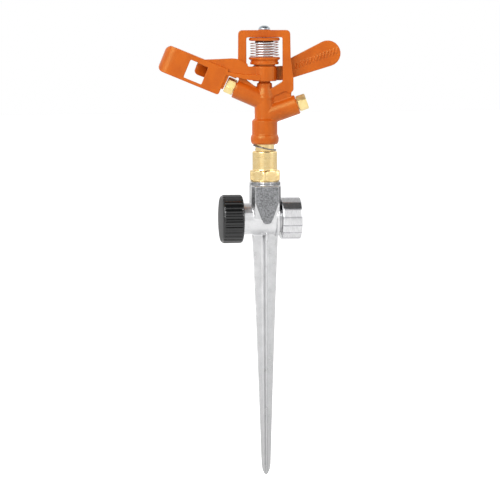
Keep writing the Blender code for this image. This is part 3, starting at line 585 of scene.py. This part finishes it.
def hex_rings(low, high, flats, start, lead=0.55):
    """Rings of a hexagon from low to high, whose corners are cut back at both ends."""
    corner = flats / 2 / math.cos(math.pi / 6)
    rim = flats / 2 * 0.985
    drop = (corner - rim) * lead
    levels = [(low, rim), (low + 0.5 * drop, (rim + corner) / 2), (low + drop, corner * 0.995),
              (high - drop, corner * 0.995), (high - 0.5 * drop, (rim + corner) / 2), (high, rim)]
    return [section(z, radius, flats, 6, start) for z, radius in levels]


def make_nipple():
    """The brass bearing: a foot, a hexagon, and a plain body with a fine groove and a lip."""
    rings = [section(NIPPLE_FOOT, 9.4), section(NIPPLE_FOOT + 0.5, 9.9), section(HEX_LOW, 9.9)]
    rings += hex_rings(HEX_LOW, HEX_HIGH, HEX_FLATS, math.radians(52.5))
    root = [(HEX_HIGH, 10.2), (238.3, 9.85), (238.7, 9.68), (239.0, NIPPLE_RADIUS), (239.3, NIPPLE_RADIUS)]
    groove = [(247.9, NIPPLE_RADIUS), (248.0, 9.58), (248.2, 9.58), (248.3, NIPPLE_RADIUS),
              (248.5, NIPPLE_RADIUS)]
    lip = [(251.7, NIPPLE_RADIUS), (251.9, NIPPLE_RADIUS), (252.0, 9.62), (252.6, 9.3), (252.85, 9.05),
           (252.9, 8.95), (252.9, 7.9)]
    bore = [(252.7, NIPPLE_BORE), (NIPPLE_FOOT, NIPPLE_BORE)]
    rings += [section(z, r) for z, r in root + groove + lip + bore]
    nipple = closed_loft("bearing_nipple_brass", rings)
    piece(nipple, "base", "brass", BEARING_BRASS, "bearing_nipple")


def make_bearing_spring():
    """A short coil with closed ends: it lies flat behind and falls to the right in front."""
    steps, coil_radius, high, fall = 96, 8.75, 257.45, 3.7
    path = []
    for i in range(steps + 1):
        along = i / steps
        angle = math.radians(30 + 480 * along)
        fallen = min(1.0, max(0.0, (along - 0.30) / 0.36))
        path.append((coil_radius, angle, high - fall * fallen * fallen * (3 - 2 * fallen)))
    spring = wire("bearing_spring_wire", path, 0.45, HEAD)
    # the wire's dark steel is painted shade from the collar above it
    piece(spring, "head", "steel", SHADED_STEEL_WIRE, "bearing_spring")


# ---------------------------------------------------------------- rotating head

NOZZLE_FLATS, NOZZLE_HEX_LENGTH = 11.2, 7.3
PIN_RADIUS, PIN_TOP, PIN_BOTTOM = 2.0, 347.2, 297.6
SCREW_TOP = 350.0
BRIDGE_UNDERSIDE, SEAT_FACE = 340.6, 338.2


def make_head():
    """The moulded head: the ledge at the column's top is added before the skin is fused."""
    head = copy_of("head_body", "head_moulding")
    outline = [(6.0, 295.1), (8.15, 295.1, 0.5), (8.15, 293.6, 0.5), (6.0, 292.6)]
    ledge = turned("ledge", rounded(outline), HEAD)
    head = moulded(merged(head, [ledge]), 0.34, 3, 0.4)
    piece(head, "head", "orange_plastic", MOULDED, "head_body")


def make_nozzle(name, length, orifice, matrix):
    """A nozzle with a shank in its barrel, a hexagon outside, and a funnel round its orifice."""
    face = length + 0.3
    tip = face + NOZZLE_HEX_LENGTH
    shank = length - 7.0
    rings = [section(shank, 3.1), section(shank, 4.1), section(shank + 0.4, 4.4), section(face, 4.4)]
    rings += hex_rings(face, tip, NOZZLE_FLATS, math.radians(45), 0.7)
    rings += [section(tip, orifice + 1.7), section(tip - 0.5, orifice + 1.3),
              section(tip - 0.7, orifice + 0.6), section(tip - 1.5, orifice)]
    nozzle = closed_loft(name + "_hex", rings, matrix)
    piece(nozzle, "head", "brass", NOZZLE_BRASS, name)


def make_screw():
    """The pivot screw: a low dome with a crossed recess, on the long pin that the arm turns on."""
    dome = [(0, SCREW_TOP), (1.2, 349.93), (2.3, 349.65), (3.2, 349.2), (3.9, 348.6), (4.35, 347.9),
            (4.55, 347.35), (4.5, PIN_TOP)]
    pin = [(PIN_RADIUS + 0.1, PIN_TOP), (PIN_RADIUS, PIN_TOP - 0.1), (PIN_RADIUS, PIN_BOTTOM + 0.5),
           (PIN_RADIUS - 0.4, PIN_BOTTOM), (0, PIN_BOTTOM)]
    screw = turned("pivot_screw_domed", dome + pin, HEAD, 72)
    taper = [(-2.3, 350.4), (-1.4, 348.9), (1.4, 348.9), (2.3, 350.4)]
    recess = [plate("recess", taper, -0.42, 0.42, HEAD @ turn(quarter, "Z")) for quarter in (0, 90)]
    boolean(screw, recess, "DIFFERENCE")
    screw.data.set_sharp_from_angle(angle=math.radians(35))
    piece(screw, "head", "steel", SCREW_STEEL, "pivot_screw")


def make_seat():
    outline = [(2.3, BRIDGE_UNDERSIDE), (11.0, BRIDGE_UNDERSIDE, 0.3), (11.95, 339.8, 0.4),
               (11.95, 338.9, 0.4), (11.3, SEAT_FACE, 0.2), (2.3, SEAT_FACE)]
    seat = turned("spring_seat_upper", rounded(outline, 3), HEAD, sharp=35)
    piece(seat, "head", "orange_plastic", MOULDED, "upper_spring_seat")


# ---------------------------------------------------------------- impact arm

GRIP_BARS, GRIP_SPACING, GRIP_SLOPE = 13, 2.55, 0.384
GRIP_START = (25.5, 318.7)
GRIP_ROOT, GRIP_FACE = 5.2, 4.2
CUP_TOP, CUP_FOOT, HUB_SHOULDER, CUP_BORE = 325.6, 320.0, 319.1, 6.95


def grip_bars():
    """A row of short raised bars along the paddle's slope, for a finger's grip."""
    bars = []
    thick, lean = 0.55, 0.7
    for k in range(GRIP_BARS):
        x = GRIP_START[0] + GRIP_SPACING * k
        z = GRIP_START[1] + GRIP_SLOPE * GRIP_SPACING * k
        half = 2.2 + 0.02 * k
        outline = rounded([(x - thick - lean, z - half, 0.3), (x + thick - lean, z - half, 0.3),
                           (x + thick + lean, z + half, 0.3), (x - thick + lean, z + half, 0.3)], 3)
        bars.append(plate("bar", outline, GRIP_ROOT, GRIP_FACE, HEAD))
    return bars


def make_arm():
    arm = merged(copy_of("impact_arm", "impact_arm_moulding"), grip_bars())
    moulded(arm, 0.33, 3, 0.4)
    piece(arm, "arm", "orange_plastic", MOULDED, "impact_arm")


def make_cup():
    """The spring's cup: a flange over a waist, a second rim, and a narrower foot."""
    flange = [(CUP_BORE, CUP_TOP), (11.6, CUP_TOP, 0.25), (12.1, 325.1, 0.3), (12.1, 324.2, 0.3)]
    waist = [(10.6, 323.0, 0.5), (10.5, 322.0, 0.4), (11.1, 321.6, 0.3), (11.1, 320.4, 0.3)]
    foot = [(10.7, CUP_FOOT, 0.2), (8.4, CUP_FOOT), (8.4, HUB_SHOULDER), (CUP_BORE, HUB_SHOULDER)]
    cup = turned("spring_cup_lower", rounded(flange + waist + foot, 3), HEAD, sharp=40)
    piece(cup, "arm", "orange_plastic", MOULDED, "spring_cup")


def make_arm_spring():
    """A coil between the cup and the upper seat, whose lowest turn flares a little."""
    turns, per_turn, coil_radius, flare = 5.6, 48, 10.7, 0.7
    low, high = 326.45, 337.35
    count = int(turns * per_turn)
    path = []
    for i in range(count + 1):
        along = i / count
        path.append((coil_radius + flare * max(0.0, 1 - along * turns),
                     math.radians(190) + turns * 2 * math.pi * along, low + (high - low) * along))
    spring = wire("arm_spring_wire", path, 0.46, HEAD)
    piece(spring, "arm", "steel", SPRING_STEEL, "arm_spring")


def dress_hidden_nodes():
    """The small pieces inside keep their CAD shapes."""
    finishes = {"swivel_retaining_ring": SPRING_STEEL, "hose_washer": SEAL_RUBBER,
                "end_cap_washer": SEAL_RUBBER, "bearing_spindle": BEARING_BRASS,
                "bearing_seal_washer": SEAL_RUBBER, "bearing_slip_washer": WHITE_NYLON,
                "drive_nozzle_seal": SEAL_RUBBER, "spreader_nozzle_seal": SEAL_RUBBER,
                # the sleeve's pale pink is painted sheen from the spring wire's highlights
                "arm_thrust_washer": WHITE_NYLON, "spring_sleeve": SLEEVE_PAINTED_SHEEN,
                "spring_seat_washer": SEAL_RUBBER, "lower_arm_bush": BEARING_BRASS,
                "upper_arm_bush": BEARING_BRASS}
    for name, material in finishes.items():
        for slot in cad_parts[name].material_slots:
            slot.material = material


make_base()
make_cap()
make_swivel()
make_nipple()
make_bearing_spring()
make_head()
make_nozzle("drive_nozzle", 24.9, 2.1, ALONG_DRIVE)
make_nozzle("spreader_nozzle", 26.9, 1.5, ALONG_SPREAD)
make_screw()
make_seat()
make_arm()
make_cup()
make_arm_spring()
dress_hidden_nodes()


# ---------------------------------------------------------------- stage, light and camera

WALL, HIGH_WALL = 0.80, 1.05
FRONT_CEILING, BACK_CEILING = 0.10, 0.55
STRIPS = ((-36, 1.4), (62, 1.35))     # azimuth in degrees and brightness
DIM_AMBIENT = 0.30                    # how much darker the studio is as a light than as a reflection
HEAD_CENTRE = 250
CAMERA_DISTANCE, VIEW_HEIGHT = 2.6, 388.5
CAMERA_ELEVATION, CAMERA_ROLL = 5.0, -0.26
AIM_HEIGHT, AIM_LEFT = 175.9, 11.8


def make_floor():
    """A pale floor that the camera sees as white."""
    reach, top, bottom = 6000, -0.2, -2
    outline = [(-reach, bottom), (reach, bottom), (reach, top), (-reach, top)]
    floor = plate("studio_floor", outline, -reach, reach, Matrix.Identity(4))
    mat, tree, shader = principled("pale_floor", (0.8, 0.8, 0.8), 0.8)
    ray = node(tree, "ShaderNodeLightPath").outputs
    mirrored = maths(tree, "MULTIPLY", ray["Is Glossy Ray"], 0.32)
    glow = maths(tree, "MULTIPLY_ADD", ray["Is Camera Ray"], 0.8, mirrored)
    shader.inputs["Emission Color"].default_value = (1, 1, 1, 1)
    tree.links.new(glow, shader.inputs["Emission Strength"])
    floor.data.materials.append(mat)


def from_front(azimuth, elevation=0.0):
    """The direction towards a place seen from the object, by its angles from the front."""
    a, e = math.radians(azimuth), math.radians(elevation)
    return Vector((math.sin(a) * math.cos(e), -math.cos(a) * math.cos(e), math.sin(e)))


def grey(value):
    return (value, value, value, 1)


def make_world():
    """A bright studio all round with two brighter strips, and a dark panel above the front.

    Metal takes its bands from it: the panel makes the dark line along level tubes, and the
    strips make the two upright highlights on the bearing."""
    world = bpy.data.worlds.new("studio")
    bpy.context.scene.world = world
    world.use_nodes = True
    tree = world.node_tree
    direction = node(tree, "ShaderNodeTexCoord").outputs["Generated"]
    parts = node(tree, "ShaderNodeSeparateXYZ", {"Vector": direction}).outputs
    level = node(tree, "ShaderNodeCombineXYZ", {"X": parts["X"], "Y": parts["Y"]}).outputs["Vector"]
    level = node(tree, "ShaderNodeVectorMath", {0: level}, operation="NORMALIZE").outputs["Vector"]
    walls = ramp(tree, parts["Z"], WALL, HIGH_WALL, 0.05, 0.22)
    for azimuth, strength in STRIPS:
        facing = node(tree, "ShaderNodeVectorMath", {0: level, 1: from_front(azimuth)},
                      operation="DOT_PRODUCT")
        strip = ramp(tree, facing.outputs["Value"], 0.0, 1.0, 0.940, 0.985)
        walls = blend(tree, strip, walls, grey(strength))
    above = ramp(tree, parts["Z"], 0.0, 1.0, 0.62, 0.70)
    front = ramp(tree, parts["Y"], 1.0, 0.0, 0.02, 0.12)
    ceiling = blend(tree, front, grey(BACK_CEILING), grey(FRONT_CEILING))
    studio = blend(tree, above, walls, ceiling)
    ray = node(tree, "ShaderNodeLightPath").outputs
    background = tree.nodes["Background"]
    tree.links.new(blend(tree, ray["Is Camera Ray"], studio, grey(1)), background.inputs["Color"])
    dimmed = maths(tree, "MULTIPLY_ADD", ray["Is Diffuse Ray"], -DIM_AMBIENT, 1.0)
    tree.links.new(dimmed, background.inputs["Strength"])


def make_light(name, azimuth, elevation, distance, size, power, glossy=True):
    """A soft box that faces the head, placed by its angles from the front."""
    data = bpy.data.lights.new(name, "AREA")
    data.shape = "RECTANGLE"
    data.size, data.size_y = size
    data.energy = power
    light = bpy.data.objects.new(name, data)
    light.visible_glossy = glossy
    bpy.context.scene.collection.objects.link(light)
    towards = from_front(azimuth, elevation)
    light.location = Vector((0, 0, HEAD_CENTRE)) * MM + towards * distance
    light.rotation_euler = towards.to_track_quat("Z", "Y").to_euler()


def make_camera():
    """The photo's view: from the way the head faces, a little above, and very slightly rolled."""
    towards = from_front(HEAD_TURN, CAMERA_ELEVATION)
    right = (-towards).cross(Vector((0, 0, 1))).normalized()
    data = bpy.data.cameras.new("camera")
    data.sensor_width = 36
    data.lens = data.sensor_width * CAMERA_DISTANCE / (VIEW_HEIGHT * MM)
    data.clip_end = 50
    camera = bpy.data.objects.new("camera", data)
    bpy.context.scene.collection.objects.link(camera)
    aim = Vector((0, 0, AIM_HEIGHT)) * MM - right * AIM_LEFT * MM
    camera.location = aim + towards * CAMERA_DISTANCE
    roll = Matrix.Rotation(math.radians(CAMERA_ROLL), 3, "Z")
    camera.rotation_euler = (towards.to_track_quat("Z", "Y").to_matrix() @ roll).to_euler()
    bpy.context.scene.camera = camera


make_floor()
make_world()
make_light("key", -42, 36, 1.4, (0.9, 0.9), 12.5)
make_light("fill", 60, 25, 1.5, (0.8, 1.0), 3)
make_light("back", 160, 45, 1.5, (1.0, 0.8), 4, glossy=False)
make_camera()
bpy.context.scene.view_settings.view_transform = "Standard"
